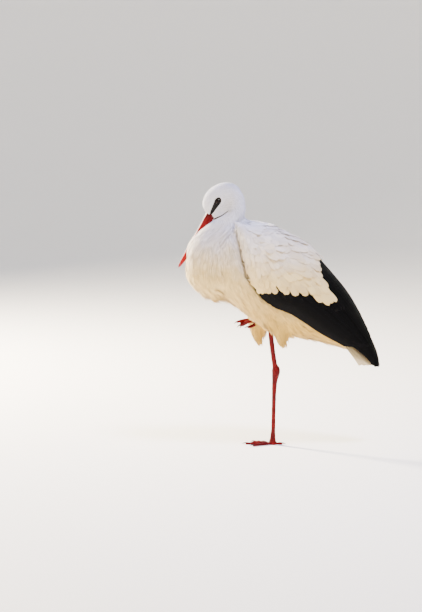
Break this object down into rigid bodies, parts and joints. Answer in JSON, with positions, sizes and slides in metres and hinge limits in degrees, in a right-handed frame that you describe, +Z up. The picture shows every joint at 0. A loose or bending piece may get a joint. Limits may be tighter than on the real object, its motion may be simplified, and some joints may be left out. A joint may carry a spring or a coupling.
{
  "type": "white stork model",
  "caption": "Life-size still model of a white stork asleep on one leg, its bill in the breast feathers and the other leg drawn up.",
  "frame": {"origin": "middle of the flat sole under the standing left foot, on the floor", "axes": "+Z up, the bird faces -X, +Y is the bird's right side"},
  "size_m": [0.5875, 0.2234, 0.7657],
  "materials": {
    "white_plumage": "soft matte feathers, white with a warm cream cast low on the breast",
    "black_plumage": "satin black feathers",
    "red_bill": "smooth horn, satin red",
    "red_leg": "scaled skin, matte red",
    "claw": "blackish horn",
    "eye": "wet, glossy, very dark brown"
  },
  "bodies": {
    "root": {"bill_lower": "red_bill", "bill_upper": "red_bill", "claw_left_hind": "claw", "claw_left_inner": "claw", "claw_left_middle": "claw", "claw_left_outer": "claw", "claw_right_hind": "claw", "claw_right_inner": "claw", "claw_right_middle": "claw", "claw_right_outer": "claw", "eye_left": "eye", "eye_right": "eye", "head": "white_plumage", "neck_lower": "white_plumage", "neck_upper": "white_plumage", "shank_left": "red_leg", "tail": "white_plumage", "tarsus_left": "red_leg", "tarsus_right": "red_leg", "thigh_left": "white_plumage", "thigh_right": "white_plumage", "toe_left_hind": "red_leg", "toe_left_inner": "red_leg", "toe_left_middle": "red_leg", "toe_left_outer": "red_leg", "toe_right_hind": "red_leg", "toe_right_inner": "red_leg", "toe_right_middle": "red_leg", "toe_right_outer": "red_leg", "trunk": "white_plumage", "wing_left_coverts": "white_plumage", "wing_left_primaries": "black_plumage", "wing_left_secondaries": "black_plumage", "wing_left_tertials": "black_plumage", "wing_right_coverts": "white_plumage", "wing_right_primaries": "black_plumage", "wing_right_secondaries": "black_plumage", "wing_right_tertials": "black_plumage"}
  },
  "joints": []
}
